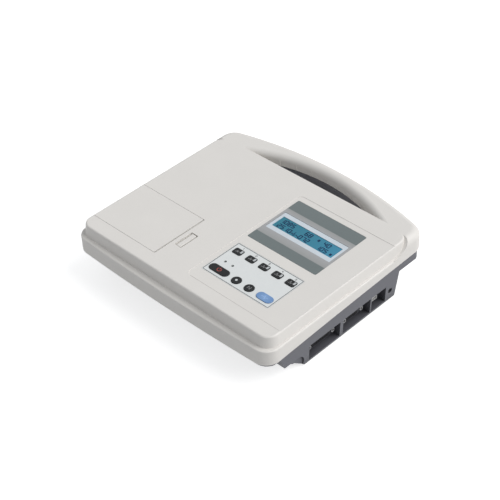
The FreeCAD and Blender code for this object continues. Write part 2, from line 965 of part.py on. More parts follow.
def paper_door():
    """Door with its rolled-over left edge, hinge knuckles, stiffening ribs and platen ears."""
    outer = plateau_block().common(box(-far, door_right, door_front, door_rear, ledge + door_gap, top))
    inner = box(door_left + wall, far, -far, far, ledge, door_under)
    door = outer.cut(inner)
    fitted = [door_rib(n) for n in range(door_ribs)]
    knuckle = 3 * sheet
    for y0 in (door_front + 2 * door_gap, door_rear - 2 * door_gap - knuckle):
        fitted.append(hinge_eye(y0, y0 + knuckle))
    for y0, y1 in platen_ears():
        fitted.append(hanging_eye(platen_x, platen_z, bush_radius + sheet, y0, y1))
    door = door.fuse(fitted).removeSplitter()
    pin = rod_y(door_front - 1, door_rear + 1, hinge_x, hinge_z, hinge_pin_radius + running_gap)
    return door.cut([pin, rod_y(door_front - 1, door_rear + 1, platen_x, platen_z, bush_radius)])


def door_rib(number):
    """Low stiffener across the door's underside."""
    pitch = (platen_x - hinge_x) / (door_ribs + 1)
    x = hinge_x + (number + 1) * pitch
    low = door_under - door_rib_height
    return box(
        x - sheet / 2, x + sheet / 2, door_front + paper_margin, door_rear - paper_margin,
        low, door_under + root_sink)


def hanging_eye(x, z, radius, y0, y1):
    """Ring about Y hung from the plate above by a web."""
    eye = rod_y(y0, y1, x, z, radius)
    return eye.fuse(box(x - radius, x + radius, y0, y1, z, ceiling + root_sink))


def hinge_eye(y0, y1):
    return hanging_eye(hinge_x, hinge_z, hinge_drop - wall + door_gap, y0, y1)


def platen_ears():
    side = paper_width / 2 + sheet
    return [
        (paper_middle - side - sheet, paper_middle - side),
        (paper_middle + side, paper_middle + side + sheet)]


def door_hinge_pin():
    """Pin through both knuckles, held in the cover at its ends."""
    reach = door_gap + wall
    return rod_y(door_front - reach, door_rear + reach, hinge_x, hinge_z, hinge_pin_radius)


def hinge_lugs():
    """Ears of the cover that hold the pin's ends."""
    lugs = []
    for y0 in (door_front - door_gap - wall, door_rear + door_gap):
        bore = rod_y(y0 - 1, y0 + wall + 1, hinge_x, hinge_z, hinge_pin_radius)
        lugs.append(hinge_eye(y0, y0 + wall).cut(bore))
    return lugs


def platen_bushes():
    """Flanged bearings in the door's ears."""
    bushes = []
    for y0, y1 in platen_ears():
        bush = rod_y(y0, y1, platen_x, platen_z, bush_radius - running_gap)
        flange = rod_y(y1, y1 + bush_flange, platen_x, platen_z, bush_radius + bush_flange)
        bore = rod_y(y0 - 1, y1 + 2, platen_x, platen_z, platen_shaft_radius + running_gap)
        bushes.append(bush.fuse(flange).removeSplitter().cut(bore))
    return Part.makeCompound(bushes)


def sleeve(x, z, outer, inner):
    """Tube about Y, as long as the paper is wide."""
    y0 = paper_middle - paper_width / 2
    y1 = y0 + paper_width
    return rod_y(y0, y1, x, z, outer).cut(rod_y(y0 - 1, y1 + 1, x, z, inner))


def platen_roller():
    return sleeve(platen_x, platen_z, platen_radius, platen_shaft_radius)


def platen_shaft():
    y0 = platen_ears()[0][0] - sheet
    return rod_y(y0, gear_front() + gear_width, platen_x, platen_z, platen_shaft_radius)


def gear(x, z, teeth, bore, phase):
    """Spur gear about Y with straight-flanked teeth; phase is the first tooth's angle."""
    pitch = gear_module * teeth / 2
    root = pitch - 1.25 * gear_module
    tip = pitch + 0.9 * gear_module
    step = 2 * math.pi / teeth
    y0 = gear_front()
    points = []
    for number in range(teeth):
        middle = phase + number * step
        for share, radius in ((-0.34, root), (-0.11, tip), (0.11, tip), (0.34, root)):
            angle = middle + share * step
            points.append(Vector(x + radius * math.cos(angle), y0, z + radius * math.sin(angle)))
    wheel = prism(points, Vector(0, gear_width, 0))
    return wheel.cut(rod_y(y0 - 1, y0 + gear_width + 1, x, z, bore))


def platen_gear():
    x, z = gear_middles()[0]
    return gear(x, z, platen_teeth, platen_shaft_radius, -math.pi / 2)


def idler_phase():
    """A gap between two teeth faces the platen gear's tooth above."""
    return math.pi / 2 + math.pi / idler_teeth


def idler_gear():
    x, z = gear_middles()[1]
    return gear(x, z, idler_teeth, hinge_pin_radius + running_gap, idler_phase())


def motor_pinion():
    """Teeth set to the idler's gaps on the slanted line between the two axes."""
    x, z = gear_middles()[2]
    line = -math.pi / 4
    offset = (line - idler_phase()) * idler_teeth / (2 * math.pi)
    share = offset - math.floor(offset)
    own = line + math.pi + (share + 0.5) * 2 * math.pi / pinion_teeth
    wheel = gear(x, z, pinion_teeth, pinion_shaft, own)
    shaft = rod_y(gear_front() - pinion_shaft, door_rear + sheet, x, z, pinion_shaft)
    return wheel.fuse(shaft).removeSplitter()


def idler_pin():
    """Headed pin pressed into the chassis."""
    x, z = gear_middles()[1]
    start = gear_front() - gear_end_gap
    stem = rod_y(start, door_rear, x, z, hinge_pin_radius)
    cap = rod_y(start - 2 * gear_end_gap, start, x, z, hinge_pin_radius + 2 * gear_end_gap)
    return stem.fuse(cap).removeSplitter()


def stepper_motor():
    """Round can on a plate with two ears."""
    x, z = gear_middles()[2]
    y0 = door_rear + sheet
    seat = y0 + motor_plate
    end = y0 + motor_length
    can = rod_y(seat, end, x, z, motor_radius)
    can = can.makeFillet(motor_edge, [e for e in can.Edges if e.BoundBox.YMin > end - motor_edge])
    reach = motor_radius + motor_ear
    ears = box(x - reach, x + reach, y0, seat, z - motor_ear, z + motor_ear)
    return can.fuse([ears, rod_y(y0, seat, x, z, motor_radius)]).removeSplitter()


def printer_frame():
    """Bent sheet chassis: base, two cheeks and a back that the head spring leans on."""
    x0, x1, y0, y1 = printer_box()
    low = printer_under()
    cheek = platen_z - platen_radius - bush_radius - 2 * platen_shaft_radius
    base = box(x0, x1, y0, y1, low, low + sheet)
    front_cheek = box(x0, x1, y0, y0 + sheet, low, cheek - sheet)
    rear_cheek = box(x0, x1, y1 - sheet, y1, low, cheek)
    back = box(x1 - sheet, x1, y0, y1, low, platen_z + platen_radius / 2)
    frame = base.fuse([front_cheek, rear_cheek, back]).removeSplitter()
    idler, pinion = gear_middles()[1:]
    cuts = [rod_y(y1 - 2 * sheet, y1 + 1, *pinion, 2 * pinion_shaft)]
    cuts.append(rod_y(y1 - 2 * sheet, y1 + 1, *idler, hinge_pin_radius))
    return frame.cut(cuts)


def head_face():
    return platen_x + platen_radius + paper_gap


def print_head():
    """Ceramic heater strip with its raised bead towards the platen."""
    x = head_face()
    y0 = paper_middle - paper_width / 2
    y1 = y0 + paper_width
    strip = box(x + head_bead, x + head_strip, y0, y1, platen_z - head_below, platen_z + head_above)
    bead = box(x, x + head_bead, y0 + 1, y1 - 1, platen_z - 2 * head_bead, platen_z + 2 * head_bead)
    return strip.fuse(bead).removeSplitter()


def head_heat_sink():
    """Finned plate behind the heater strip."""
    x = head_face() + head_strip
    y0 = paper_middle - paper_width / 2
    y1 = y0 + paper_width
    low = platen_z - head_below
    plate = box(x, x + sink_plate, y0, y1, low, platen_z + head_above)
    fins = []
    for number in range(sink_fins):
        z = low + number * sink_pitch
        fins.append(box(x + sink_plate, x + sink_depth, y0, y1, z, z + sink_pitch / 3))
    return plate.fuse(fins).removeSplitter()


def head_spring():
    """Flat spring bowed between the chassis back and the heat sink's fins."""
    start = head_face() + head_strip + sink_depth
    end = printer_box()[1] - sheet
    low = platen_z - head_below + sink_pitch
    reach = spring_length / 2
    touch = spring_length / 8
    thick = spring_leaf
    foot = box(end - thick, end, paper_middle - reach, paper_middle + reach, low, low + spring_width)
    bow = [
        (end - thick, -reach), (start, -touch), (start, touch), (end - thick, reach),
        (end - thick, reach - 4 * thick), (start + thick, touch - thick),
        (start + thick, thick - touch), (end - thick, 4 * thick - reach)]
    blade = prism([Vector(x, paper_middle + y, low) for x, y in bow], Vector(0, 0, spring_width))
    return foot.fuse(blade).removeSplitter()


def tray_ends():
    """Front and rear of the paper tub."""
    return door_front + tray_front_gap, door_rear - 2 * sheet


def roll_middle():
    left = hinge_x + hinge_drop - sheet
    right = platen_x - printer_left - post_margin
    return (left + right) / 2 - 1.0, door_under - roll_radius - roll_room - 1.0


def tub(radius, y0, y1):
    """Round bottom with straight sides up to the cover's underside."""
    x, z = roll_middle()
    sides = box(x - radius, x + radius, y0, y1, z, ceiling)
    bottom = rod_y(y0, y1, x, z, radius).cut(box(-far, far, -far, far, z, far))
    return bottom.fuse(sides).removeSplitter()


def paper_tray():
    """Open tub with a round bottom that follows the paper roll, and slots for its spindle."""
    y0, y1 = tray_ends()
    x, z = roll_middle()
    room = roll_radius + roll_room
    reach = room + 2 * sheet
    rim_y = 2 * roll_room
    rim = box(x - reach, x + reach, door_front - rim_y, door_rear + rim_y, ceiling - sheet, ceiling)
    tray = tub(room + sheet, y0, y1).fuse(rim).removeSplitter().cut(tub(room, y0 + sheet, y1 - sheet))
    well = spindle_radius + running_gap
    slots = []
    for start in (y0 - 1, y1 - sheet - 1):
        end = start + sheet + 2
        slots.append(rod_y(start, end, x, z, well))
        slots.append(box(x - well, x + well, start, end, z, ceiling - 4 * sheet))
    return tray.cut(slots)


def paper_roll():
    return sleeve(*roll_middle(), roll_radius, core_radius)


def paper_core():
    return sleeve(*roll_middle(), core_radius, spindle_radius)


def paper_spindle():
    """Rod through the core with a collar at each end that keeps the roll in the middle."""
    y0, y1 = tray_ends()
    x, z = roll_middle()
    rod = rod_y(y0 + lcd_seat, y1 - lcd_seat, x, z, spindle_radius)
    start = paper_middle - paper_width / 2
    collars = []
    for place in (start - collar, start + paper_width):
        collars.append(rod_y(place, place + collar, x, z, core_radius + collar))
    return rod.fuse(collars).removeSplitter()


def door_latch():
    """Sliding bar in its window, with a flange under the cover and a nose towards the door."""
    x0 = door_right + latch_gap + (latch_width - latch_bar) / 2
    x1 = x0 + latch_bar
    reach = latch_length / 2 - 2 * latch_sink
    high = top - latch_sink
    low = ceiling - seat_gap - latch_plate
    bar = slab(x0, x1, paper_middle - reach, paper_middle + reach, low, high, latch_corner)
    bar = bar.makeFillet(latch_corner / 2, level_edges(bar, high))
    wide = reach + latch_flange
    plate = box(
        x0 - latch_flange, x1 + latch_flange / 3, paper_middle - wide, paper_middle + wide,
        low, ceiling - seat_gap)
    nose_x = x0 - latch_flange
    nose = box(
        nose_x - latch_nose, nose_x, paper_middle - reach / 2, paper_middle + reach / 2,
        low, low + latch_plate / 2)
    return bar.fuse([plate, nose]).removeSplitter()


def latch_guide():
    """Two rails under the cover and the shelf that carries the latch's flange."""
    x0 = door_right + latch_gap
    x1 = x0 + latch_width
    reach = latch_length / 2 + latch_flange + sheet + 1.0
    low = ceiling - 2 * seat_gap - latch_plate - sheet
    shelf = box(x0 - 1, x1, paper_middle - reach, paper_middle + reach, low, low + sheet)
    rails = []
    for y0 in (paper_middle - reach, paper_middle + reach - sheet):
        rails.append(box(x0 - 1, x1, y0, y0 + sheet, low, ceiling))
    return shelf.fuse(rails).removeSplitter()


def main_board():
    """Board over the side connectors, with a row of chips and a row of capacitors."""
    x0, x1, y0, y1 = main_board_box()
    low = main_board_under()
    high = low + board
    plate = box(x0, x1, y0, y1, low, high)
    parts = []
    pitch = (x1 - x0) / (chips + 1)
    for number in range(chips):
        size = chip_size - number * chip_step
        x = x0 + (number + 1) * pitch
        parts.append(pad(x, (y0 + y1) / 2, size, size, high, high + board, lcd_seat))
    for number in range(chips):
        x = x0 + (number + 1) * pitch
        parts.append(post(x, y1 - chip_size, high, high + 2 * capacitor_radius, capacitor_radius))
    plate = plate.fuse(parts).removeSplitter()
    return plate.cut(screw_holes(main_posts()))


def buzzer():
    """Round sounder with a hole in its lid."""
    x0, x1, y0, y1 = main_board_box()
    low = main_board_under() + board
    x = x0 + 2 * buzzer_radius
    y = y0 + 4 * buzzer_radius
    high = low + buzzer_radius
    return post(x, y, low, high, buzzer_radius).cut(post(x, y, high - sheet, high + 1, buzzer_radius / 5))


def dsub_connector(at, shell, pitch, pins):
    """Female D-sub: flange behind the wall, shell through it, moulded face with pin holes."""
    y = front + at
    z = connector_height
    face = recess_plane - wall
    end = recess_plane + dsub_shell_reach
    flange = side_block(face - dsub_flange, face, y, z, pitch + 2 * dsub_margin, dsub_flange_height)
    width = shell / 2 + 1
    body = box(
        face - dsub_body_depth, face - dsub_flange, y - width, y + width,
        z - dsub_shell_height / 2 - 1, main_board_under())
    plug = flange.fuse([body, dsub_plan(shell, dsub_shell_height, y, z, face, end)]).removeSplitter()
    holes = []
    for row, count in ((dsub_row_pitch / 2, pins), (-dsub_row_pitch / 2, pins - 1)):
        for number in range(count):
            place = y + (number - (count - 1) / 2) * dsub_pin_pitch
            holes.append(rod_x(recess_plane - wall, end + 1, place, z + row, dsub_pin_hole))
    for side in (-1, 1):
        holes.append(rod_x(face - wall, face + 1, y + side * pitch / 2, z, jackscrew_hole + 2 * seat_gap))
    return plug.cut(holes)


def connector_jackscrews():
    """Hex standoffs with a threaded socket, two beside each D-sub."""
    screws = []
    z = connector_height
    end = recess_plane + jackscrew_length
    for at, shell, pitch, pins in dsub_sizes():
        for side in (-1, 1):
            y = front + at + side * pitch / 2
            corners = []
            for number in range(6):
                angle = math.radians(60 * number)
                place = (y + jackscrew_radius * math.cos(angle), z + jackscrew_radius * math.sin(angle))
                corners.append(Vector(recess_plane, *place))
            hexagon = prism(corners, Vector(jackscrew_length, 0, 0))
            stem = rod_x(recess_plane - 2 * wall, recess_plane, y, z, jackscrew_hole + seat_gap)
            socket = rod_x(recess_plane, end + 1, y, z, jackscrew_hole)
            screws.append(hexagon.fuse(stem).removeSplitter().cut(socket))
    return Part.makeCompound(screws)


def usb_port():
    """Type-A socket: folded shell with its tongue, hung from the main board."""
    y = front + usb_at
    z = connector_height
    end = recess_plane + usb_reach
    start = end - usb_depth
    mouth_start = end - usb_mouth
    shell = side_block(start, end, y, z, usb_width, usb_height)
    mouth = side_block(mouth_start, end + 1, y, z, usb_width - 2 * usb_skin, usb_height - 2 * usb_skin)
    tongue_width = usb_width - 6 * usb_skin
    tongue = side_block(mouth_start, end - usb_skin, y, z + usb_tongue * 0.7, tongue_width, usb_tongue)
    saddle_height = main_board_under() - z - usb_height / 2
    saddle_z = z + usb_height / 2 + saddle_height / 2
    saddle = side_block(start, mouth_start, y, saddle_z, usb_width, saddle_height)
    return shell.cut(mouth).fuse([tongue, saddle]).removeSplitter()


def external_input_jack():
    """Round jack seated against the inside of the wall, open at its mouth."""
    y = front + jack_at
    z = connector_height
    lean = case_taper * (parting_rear - z) / (parting_rear - feet_height)
    face = half - case_inset - wall - lean - 4 * seat_gap
    side = jack_body / 2
    body = box(face - jack_depth, face, y - side, y + side, z - side, main_board_under())
    nose = rod_x(face, face + wall, y, z, jack_hole - seat_gap)
    bore = rod_x(face - jack_depth + wall, face + wall + 1, y, z, jack_bore)
    return body.fuse(nose).removeSplitter().cut(bore)


def power_board():
    """Supply board over the battery, with its capacitors and a cooling plate."""
    x0, x1, y0, y1 = power_board_box()
    low = power_board_under()
    high = low + board
    plate = box(x0, x1, y0, y1, low, high)
    parts = []
    step = (y1 - y0) / (power_capacitors + 1)
    x = x0 + 2 * power_capacitor_radius + post_radius
    for number in range(power_capacitors):
        y = y0 + (number + 1) * step
        parts.append(post(x, y, high, high + 3 * power_capacitor_radius, power_capacitor_radius))
    fin = x1 - 2 * power_capacitor_radius - post_radius
    parts.append(box(fin, fin + sheet, y0 + step, y1 - step, high, high + 3 * power_capacitor_radius))
    plate = plate.fuse(parts).removeSplitter()
    return plate.cut(screw_holes(power_posts()))


def transformer():
    """Laminated core with its winding, standing on the power board."""
    x0, x1, y0, y1 = power_board_box()
    x = (x0 + x1) / 2
    y = (y0 + y1) / 2
    low = power_board_under() + board
    high = low + core_height
    core = pad(x, y, core_width, core_depth, low, high, sheet)
    yoke = core_height / 6
    winding = pad(x, y, winding_width, winding_depth, low + yoke, high - yoke, winding_corner)
    return core.fuse(winding).removeSplitter()


def mains_inlet():
    """Three-pin inlet, cavity with two cut corners, set in the left recess."""
    y = front + inlet_at
    z = inlet_middle()
    face = -recess_plane
    lip = 2 * inlet_flange
    flange = side_block(face - inlet_plate, face, y, z, inlet_width + lip, inlet_height + lip)
    body = side_block(face, face + inlet_depth, y, z, inlet_width, inlet_height)
    w = inlet_width / 2 - sheet
    h = inlet_height / 2 - sheet
    cut = h / 2
    plan = [(-w, -h), (w, -h), (w, h - cut), (w - cut, h), (cut - w, h), (-w, h - cut)]
    outline = [Vector(face - inlet_plate - 1, y + a, z + b) for a, b in plan]
    shape = flange.fuse(body).removeSplitter().cut(prism(outline, Vector(inlet_cavity, 0, 0)))
    pins = []
    for dy, dz in ((-inlet_pin_pitch, -inlet_pin), (inlet_pin_pitch, -inlet_pin), (0, inlet_pin)):
        pins.append(side_block(face, face + inlet_cavity, y + dy, z + dz, inlet_pin, 2 * inlet_pin))
    return shape.fuse(pins).removeSplitter()


def ground_stud():
    """Equal-potential pin with its collar and the nut behind the wall."""
    y = front + stud_at
    z = inlet_middle()
    face = -recess_plane
    tip = face - stud_length
    collar_radius = stud_radius + post_margin
    pin = rod_x(tip, face + 2 * wall, y, z, stud_radius)
    pin = pin.makeChamfer(stud_chamfer, [e for e in pin.Edges if e.BoundBox.XMax < tip + stud_chamfer])
    collar_ring = rod_x(face - collar, face, y, z, collar_radius)
    nut = rod_x(face + wall, face + 2 * wall, y, z, collar_radius)
    return pin.fuse([collar_ring, nut]).removeSplitter()


def battery_pack():
    low = feet_height + battery_lid
    high = low + battery_height
    pack = pad(battery_x, battery_y, battery_width, battery_depth, low, high, lid_lip)
    return pack.makeFillet(battery_lid, level_edges(pack, high))


def battery_cover():
    """Flat lid under the case."""
    width = battery_width + 2 * (lid_margin - seat_gap)
    depth = battery_depth + 2 * (lid_margin - seat_gap)
    high = feet_height + battery_lid
    lid = pad(battery_x, battery_y, width, depth, feet_height, high, lid_corner - seat_gap)
    return lid.cut([post(x, y, 0, top, screw_radius + screw_gap) for x, y in lid_screws()])


def battery_cover_screws():
    screws = []
    for x, y in lid_screws():
        head = post(x, y, feet_height - lid_screw_head, feet_height, screw_head)
        screws.append(head.fuse(post(x, y, feet_height, floor + 1, screw_radius)).removeSplitter())
    return Part.makeCompound(screws)


def rubber_feet():
    """Turned feet with a soft lower edge."""
    feet = []
    for x, y in corner_posts(0, 0, body_width - 2 * foot_inset_x, body_depth - 2 * foot_inset_y):
        foot = Part.makeCone(foot_radius - foot_draft, foot_radius, feet_height, Vector(x, y, 0))
        feet.append(foot.makeFillet(foot_draft / 2, level_edges(foot, 0)))
    return Part.makeCompound(feet)


def case_screws():
    heads = case_bosses(boss_seat - screw_head_height, boss_seat, screw_head)
    stems = case_bosses(boss_seat, boss_seat + case_screw_reach, screw_radius)
    return Part.makeCompound([head.fuse(stem).removeSplitter() for head, stem in zip(heads, stems)])


def board_screws():
    """Cap screws that hold the boards, driven from above or below."""
    upper = [(main_posts(), main_board_under()), (power_posts(), power_board_under())]
    lower = [(lcd_posts(), ceiling - board_sink - board), (keypad_posts(), keypad_board_top() - board)]
    screws = []
    for places, low, side in [(*group, 1) for group in upper] + [(*group, 0) for group in lower]:
        seat = low + board if side else low - board_screw_head
        for x, y in places:
            shank = post(x, y, low, low + board, screw_radius - screw_gap)
            screws.append(shank.fuse(post(x, y, seat, seat + board_screw_head, screw_head)).removeSplitter())
    return Part.makeCompound(screws)


def build():
    shapes = {
        "top_cover": top_cover().fuse(hinge_lugs()).removeSplitter(),
        "bottom_case": bottom_case(),
        "ecg_connector": dsub_connector(*dsub_sizes()[0]),
        "serial_connector": dsub_connector(*dsub_sizes()[1]),
    }
    makers = [
        display_panel, lcd_frame, lcd_glass, lcd_board, keypad_overlay, keypad_board, key_switches,
        indicator_leds, paper_door, door_hinge_pin, platen_bushes, platen_roller, platen_shaft,
        platen_gear, idler_gear, idler_pin, motor_pinion, stepper_motor, printer_frame, print_head,
        head_heat_sink, head_spring, paper_tray, paper_roll, paper_core, paper_spindle, door_latch,
        latch_guide, main_board, buzzer, connector_jackscrews, usb_port, external_input_jack,
        power_board, transformer, mains_inlet, ground_stud, battery_pack, battery_cover,
        battery_cover_screws, rubber_feet, case_screws, board_screws]
    for maker in makers:
        shapes[maker.__name__] = maker()
    for name, x, y, width, depth, corner in key_outlines():
        shapes[name] = key_cap(x, y, width, depth, corner)
    return shapes


os.makedirs("parts", exist_ok=True)
for node_name, solid in build().items():
    solid.exportStep(f"parts/{node_name}.step")
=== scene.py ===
import json
import math

import bmesh
import bpy
from mathutils import Matrix, Vector


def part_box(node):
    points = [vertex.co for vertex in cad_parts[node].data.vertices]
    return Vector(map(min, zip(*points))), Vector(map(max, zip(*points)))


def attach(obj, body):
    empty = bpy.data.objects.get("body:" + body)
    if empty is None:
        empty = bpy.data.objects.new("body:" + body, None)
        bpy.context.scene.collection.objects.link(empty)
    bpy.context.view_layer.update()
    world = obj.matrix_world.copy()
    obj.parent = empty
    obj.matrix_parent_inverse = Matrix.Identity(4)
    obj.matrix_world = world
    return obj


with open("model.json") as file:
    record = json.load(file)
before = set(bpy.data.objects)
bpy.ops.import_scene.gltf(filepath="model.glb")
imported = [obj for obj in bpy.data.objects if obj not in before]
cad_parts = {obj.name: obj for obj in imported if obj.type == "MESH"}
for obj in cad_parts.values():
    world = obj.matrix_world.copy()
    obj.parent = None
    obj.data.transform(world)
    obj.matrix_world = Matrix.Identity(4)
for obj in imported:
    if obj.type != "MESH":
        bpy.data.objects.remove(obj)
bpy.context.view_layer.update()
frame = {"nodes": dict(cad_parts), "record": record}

MM = 0.001
NODES = frame["nodes"]
SLOT_OF = {row["node"]: row["material_slot"] for row in frame["record"]["subparts"]}
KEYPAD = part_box("keypad_overlay")
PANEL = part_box("display_panel")
LCD_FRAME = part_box("lcd_frame")
LCD_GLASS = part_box("lcd_glass")
INK = 0.06 * MM
NOISE_LOW, NOISE_HIGH = 0.3, 0.7


def srgb(red, green, blue):
    """Linear colour from 8-bit screen values."""
    def linear(value):
        value = value / 255
        return value / 12.92 if value <= 0.04045 else ((value + 0.055) / 1.055) ** 2.4
    return (linear(red), linear(green), linear(blue), 1.0)


def grey(level):
    return (level, level, level, 1.0)


def shade(colour, factor):
    return tuple(min(1.0, c * factor) for c in colour[:3]) + (1.0,)


def key_middle(name):
    low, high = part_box(name)
    return (low.x + high.x) / 2, (low.y + high.y) / 2, high.z


# Materials

def new_material(name):
    material = bpy.data.materials.new(name)
    material.use_nodes = True
    tree = material.node_tree
    return material, tree, tree.nodes["Principled BSDF"]


def place(tree):
    """Coordinates fixed to the piece, in metres."""
    return tree.nodes.new("ShaderNodeTexCoord").outputs["Object"]


def noise(tree, where, scale, detail=3.0, rough=0.55):
    node = tree.nodes.new("ShaderNodeTexNoise")
    node.inputs["Scale"].default_value = scale
    node.inputs["Detail"].default_value = detail
    node.inputs["Roughness"].default_value = rough
    tree.links.new(where, node.inputs["Vector"])
    return node.outputs["Fac"]


def ramp(tree, value, stops):
    node = tree.nodes.new("ShaderNodeValToRGB")
    elements = node.color_ramp.elements
    while len(elements) < len(stops):
        elements.new(0.5)
    for element, (at, colour) in zip(elements, stops):
        element.position = at
        element.color = colour
    tree.links.new(value, node.inputs["Fac"])
    return node.outputs["Color"]


def span(tree, value, low, high):
    """Noise value spread over a range, for roughness."""
    node = tree.nodes.new("ShaderNodeMapRange")
    node.inputs["From Min"].default_value = NOISE_LOW
    node.inputs["From Max"].default_value = NOISE_HIGH
    node.inputs["To Min"].default_value = low
    node.inputs["To Max"].default_value = high
    tree.links.new(value, node.inputs["Value"])
    return node.outputs["Result"]


def bump(tree, shader, height, strength, distance):
    node = tree.nodes.new("ShaderNodeBump")
    node.inputs["Strength"].default_value = strength
    node.inputs["Distance"].default_value = distance
    tree.links.new(height, node.inputs["Height"])
    tree.links.new(node.outputs["Normal"], shader.inputs["Normal"])


def tint(tree, where, colour, spread, scale):
    """Colour with a faint cloudy drift, as moulded or printed stock has."""
    return ramp(tree, noise(tree, where, scale), [
        (NOISE_LOW, shade(colour, 1 - spread)), (NOISE_HIGH, shade(colour, 1 + spread))])


def multiplied(tree, base, layer, share):
    """Base colour with a layer multiplied over it."""
    mix = tree.nodes.new("ShaderNodeMix")
    mix.data_type = "RGBA"
    mix.blend_type = "MULTIPLY"
    mix.inputs["Factor"].default_value = share
    tree.links.new(base, mix.inputs["A"])
    tree.links.new(layer, mix.inputs["B"])
    return mix.outputs["Result"]


def in_hollows(tree, colour, reach, low):
    """Painted shade: colour that darkens towards low where the surface is closed in within reach, standing in
    for the shade that falls in recesses.
    """
    closed = tree.nodes.new("ShaderNodeAmbientOcclusion")
    closed.inputs["Distance"].default_value = reach
    painted_shade = ramp(tree, closed.outputs["AO"], [(0.1, grey(low)), (0.95, grey(1.0))])
    return multiplied(tree, colour, painted_shade, 1.0)


def moulded(name, colour, rough, grain, depth, spread=0.02, hollow_shade=None):
    """Moulded plastic with a spark-eroded grain, and painted shade in its hollows when asked for."""
    material, tree, shader = new_material(name)
    where = place(tree)
    stock = tint(tree, where, colour, spread, 25.0)
    # Painted shade: colour darker where the surface is closed in.
    if hollow_shade:
        stock = in_hollows(tree, stock, *hollow_shade)
    tree.links.new(stock, shader.inputs["Base Color"])
    fine = noise(tree, where, grain, 2.0, 0.6)
    tree.links.new(span(tree, fine, rough - 0.06, rough + 0.06), shader.inputs["Roughness"])
    bump(tree, shader, fine, 0.35, depth)
    return material


def satin(name, colour, rough, spread=0.03, gloss=0.5):
    """Smooth printed film, ink or polished plastic."""
    material, tree, shader = new_material(name)
    where = place(tree)
    tree.links.new(tint(tree, where, colour, spread, 140.0), shader.inputs["Base Color"])
    haze = noise(tree, where, 900.0, 2.0)
    tree.links.new(span(tree, haze, rough - 0.04, rough + 0.05), shader.inputs["Roughness"])
    shader.inputs["Specular IOR Level"].default_value = gloss
    bump(tree, shader, haze, 0.08, 0.00002)
    return material


def metal(name, colour, rough, stretch=(1.0, 1.0, 1.0), share=1.0):
    """Plated or drawn metal with fine streaks."""
    material, tree, shader = new_material(name)
    shader.inputs["Metallic"].default_value = share
    mapping = tree.nodes.new("ShaderNodeMapping")
    mapping.inputs["Scale"].default_value = stretch
    tree.links.new(place(tree), mapping.inputs["Vector"])
    streak = noise(tree, mapping.outputs["Vector"], 800.0, 3.0)
    tree.links.new(tint(tree, mapping.outputs["Vector"], colour, 0.08, 300.0), shader.inputs["Base Color"])
    tree.links.new(span(tree, streak, rough - 0.08, rough + 0.1), shader.inputs["Roughness"])
    bump(tree, shader, streak, 0.1, 0.00003)
    return material


def axis_value(tree, where, axis, low, high):
    """Share of the way along one axis, from 0 at low to 1 at high."""
    split = tree.nodes.new("ShaderNodeSeparateXYZ")
    tree.links.new(where, split.inputs["Vector"])
    node = tree.nodes.new("ShaderNodeMapRange")
    node.inputs["From Min"].default_value = low
    node.inputs["From Max"].default_value = high
    tree.links.new(split.outputs[axis], node.inputs["Value"])
    return node.outputs["Result"]


def display_print():
    """Window plate printed with grey bands in front of and behind the screen."""
    material, tree, shader = new_material("display_print")
    where = place(tree)
    dark = srgb(102, 112, 113)
    middle = srgb(150, 152, 152)
    pale = srgb(163, 164, 166)
    along = axis_value(tree, where, "Y", PANEL[0].y, PANEL[1].y)
    bands = ramp(tree, along, [
        (0.0, dark), (0.172, dark), (0.178, middle), (0.30, pale),
        (0.69, pale), (0.78, middle), (0.786, dark), (1.0, shade(dark, 1.04))])
    speck = noise(tree, where, 300.0)
    dapple = ramp(tree, speck, [(NOISE_LOW, grey(0.93)), (NOISE_HIGH, grey(1.0))])
    tree.links.new(multiplied(tree, bands, dapple, 0.5), shader.inputs["Base Color"])
    tree.links.new(span(tree, speck, 0.3, 0.38), shader.inputs["Roughness"])
    bump(tree, shader, speck, 0.06, 0.00002)
    return material


def lcd_screen():
    """Backlit blue field with its pixel lattice, a little lighter towards its +X end."""
    material, tree, shader = new_material("lcd_screen")
    where = place(tree)
    across = axis_value(tree, where, "X", LCD_GLASS[0].x, LCD_GLASS[1].x)
    field = ramp(tree, across, [
        (0.0, srgb(42, 118, 138)), (0.35, srgb(44, 120, 143)),
        (0.75, srgb(50, 126, 153)), (1.0, srgb(60, 135, 166))])
    wave = tree.nodes.new("ShaderNodeTexWave")
    wave.wave_type = "BANDS"
    wave.inputs["Scale"].default_value = 340.0
    tree.links.new(where, wave.inputs["Vector"])
    lattice = multiplied(tree, field, wave.outputs["Color"], 0.12)
    tree.links.new(lattice, shader.inputs["Base Color"])
    tree.links.new(lattice, shader.inputs["Emission Color"])
    shader.inputs["Emission Strength"].default_value = 0.12
    shader.inputs["Specular IOR Level"].default_value = 0.25
    tree.links.new(span(tree, noise(tree, where, 500.0), 0.14, 0.2), shader.inputs["Roughness"])
    return material


def paper_stock(name, colour):
    material, tree, shader = new_material(name)
    where = place(tree)
    fibre = noise(tree, where, 1200.0, 4.0)
    tree.links.new(tint(tree, where, colour, 0.03, 200.0), shader.inputs["Base Color"])
    tree.links.new(span(tree, fibre, 0.6, 0.75), shader.inputs["Roughness"])
    bump(tree, shader, fibre, 0.2, 0.00005)
    return material


def key_blue():
    """Blue keytop, lighter in the middle."""
    material, tree, shader = new_material("key_blue")
    where = place(tree)
    x, y, z = key_middle("start_key")
    away = tree.nodes.new("ShaderNodeVectorMath")
    away.operation = "DISTANCE"
    away.inputs[1].default_value = (x, y, z)
    tree.links.new(where, away.inputs[0])
    reach = tree.nodes.new("ShaderNodeMapRange")
    reach.inputs["From Max"].default_value = 9.5 * MM
    tree.links.new(away.outputs["Value"], reach.inputs["Value"])
    colour = ramp(tree, reach.outputs["Result"], [
        (0.0, srgb(131, 166, 209)), (0.45, srgb(115, 152, 199)), (1.0, srgb(101, 138, 187))])
    tree.links.new(colour, shader.inputs["Base Color"])
    haze = noise(tree, where, 900.0, 2.0)
    tree.links.new(span(tree, haze, 0.32, 0.42), shader.inputs["Roughness"])
    bump(tree, shader, haze, 0.08, 0.00002)
    return material


